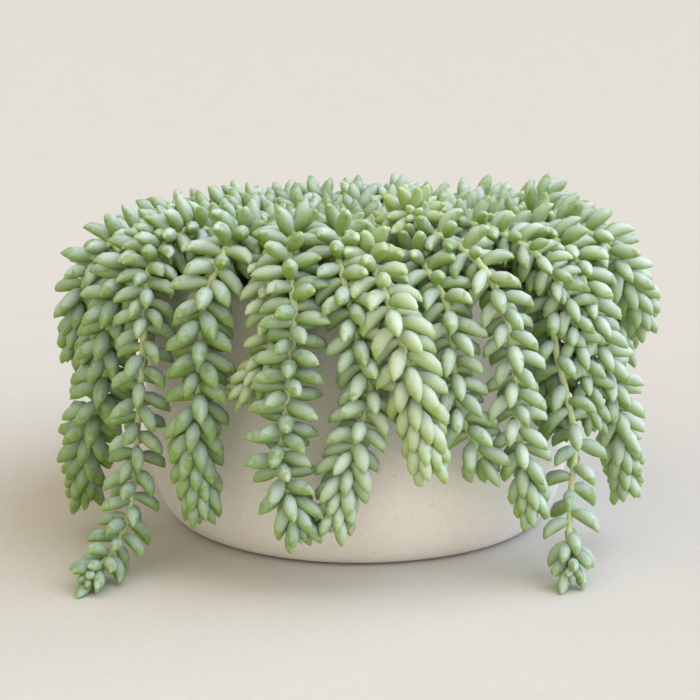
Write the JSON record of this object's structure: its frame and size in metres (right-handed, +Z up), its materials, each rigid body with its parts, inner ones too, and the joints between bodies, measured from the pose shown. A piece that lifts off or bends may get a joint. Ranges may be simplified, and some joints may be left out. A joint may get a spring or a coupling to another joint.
{
  "type": "potted burro's tail plant",
  "caption": "Trailing succulent with plump blue-green leaves along its hanging stems, in a low round stoneware pot.",
  "frame": {"origin": "centre of the pot's foot, on the surface it stands on", "axes": "+Z up; the plant's front, where its longest stems trail on the surface, faces -Y; +X to the right seen from the front"},
  "size_m": [0.3984, 0.4355, 0.2436],
  "materials": {
    "stoneware": "matt speckled cream glaze",
    "potting_soil": "loose dark potting soil",
    "leaf": "waxy blue-green leaf with a pale bloom",
    "young_leaf": "waxy yellow-green young leaf"
  },
  "bodies": {
    "root": {"pot": "stoneware", "short_shoot_01": "young_leaf", "short_shoot_02": "leaf", "short_shoot_03": "leaf", "short_shoot_04": "leaf", "short_shoot_05": "leaf", "short_shoot_06": "leaf", "short_shoot_07": "leaf", "short_shoot_08": "leaf", "short_shoot_09": "leaf", "short_shoot_10": "leaf", "short_shoot_11": "leaf", "short_shoot_12": "leaf", "short_shoot_13": "leaf", "short_shoot_14": "leaf", "short_shoot_15": "leaf", "short_shoot_16": "leaf", "short_shoot_17": "leaf", "soil": "potting_soil", "trailing_stem_01": "leaf", "trailing_stem_02": "leaf", "trailing_stem_03": "leaf", "trailing_stem_04": "leaf", "trailing_stem_05": "leaf", "trailing_stem_06": "young_leaf", "trailing_stem_07": "leaf", "trailing_stem_08": "leaf", "trailing_stem_09": "young_leaf", "trailing_stem_10": "leaf", "trailing_stem_11": "leaf", "trailing_stem_12": "leaf", "trailing_stem_13": "leaf", "trailing_stem_14": "leaf", "trailing_stem_15": "leaf", "trailing_stem_16": "leaf", "trailing_stem_17": "leaf", "trailing_stem_18": "leaf", "trailing_stem_19": "leaf", "trailing_stem_20": "leaf", "trailing_stem_21": "leaf", "trailing_stem_22": "leaf", "trailing_stem_23": "leaf", "trailing_stem_24": "leaf", "trailing_stem_25": "leaf", "trailing_stem_26": "leaf", "trailing_stem_27": "leaf", "trailing_stem_28": "leaf", "trailing_stem_29": "leaf", "trailing_stem_30": "leaf", "trailing_stem_31": "leaf", "trailing_stem_32": "leaf", "trailing_stem_33": "leaf"}
  },
  "joints": []
}
